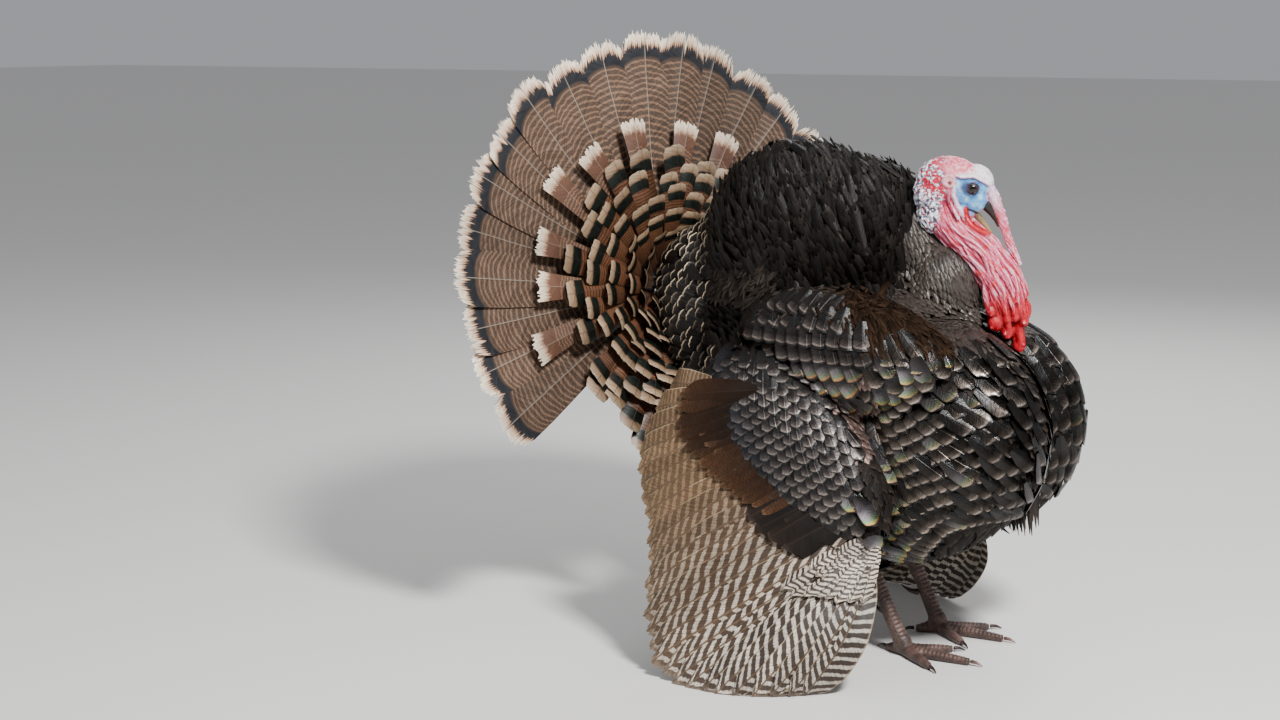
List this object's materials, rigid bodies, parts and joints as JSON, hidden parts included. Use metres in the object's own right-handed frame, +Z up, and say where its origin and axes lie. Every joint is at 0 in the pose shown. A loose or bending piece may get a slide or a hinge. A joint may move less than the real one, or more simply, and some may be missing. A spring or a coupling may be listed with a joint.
{
  "type": "strutting turkey",
  "caption": "Life-size strutting tom turkey, tail fanned, wings drooped to the ground, snood and wattles hanging.",
  "frame": {"origin": "on the ground, under the middle of the bird's outline", "axes": "+X the way the body faces, +Y the bird's left, +Z up"},
  "size_m": [0.7792, 0.6838, 0.8722],
  "materials": {
    "plumage": "satin dark bronze-black feathers with silver, green and orange sheen",
    "tail_barred": "dark brown feathers barred with chestnut, tipped buff-white",
    "wing_barred": "dark brown and white barred flight feathers",
    "bare_skin": "soft folded bare skin, pink to blue and white",
    "caruncle": "soft bulbous red skin with a slight shine",
    "beak_horn": "smooth brown horn with paler edges",
    "eye_dark": "wet dark brown eye",
    "scaly_leg": "dull dark pinkish-brown scales",
    "claw_horn": "dark horn"
  },
  "bodies": {
    "root": {"beak_lower": "beak_horn", "beak_upper": "beak_horn", "beard": "plumage", "claw_hind_left": "claw_horn", "claw_hind_right": "claw_horn", "claw_inner_left": "claw_horn", "claw_inner_right": "claw_horn", "claw_middle_left": "claw_horn", "claw_middle_right": "claw_horn", "claw_outer_left": "claw_horn", "claw_outer_right": "claw_horn", "eye_left": "eye_dark", "eye_right": "eye_dark", "flight_feathers_left": "wing_barred", "flight_feathers_right": "wing_barred", "foot_left": "scaly_leg", "foot_right": "scaly_leg", "head": "bare_skin", "neck": "plumage", "shoulder_left": "plumage", "shoulder_right": "plumage", "snood": "bare_skin", "spur_left": "claw_horn", "spur_right": "claw_horn", "tail": "tail_barred", "tail_coverts": "tail_barred", "thigh_left": "plumage", "thigh_right": "plumage", "throat": "bare_skin", "trunk": "plumage", "undertail_coverts": "tail_barred", "wattle": "caruncle", "wing_left": "plumage", "wing_right": "plumage"}
  },
  "joints": []
}
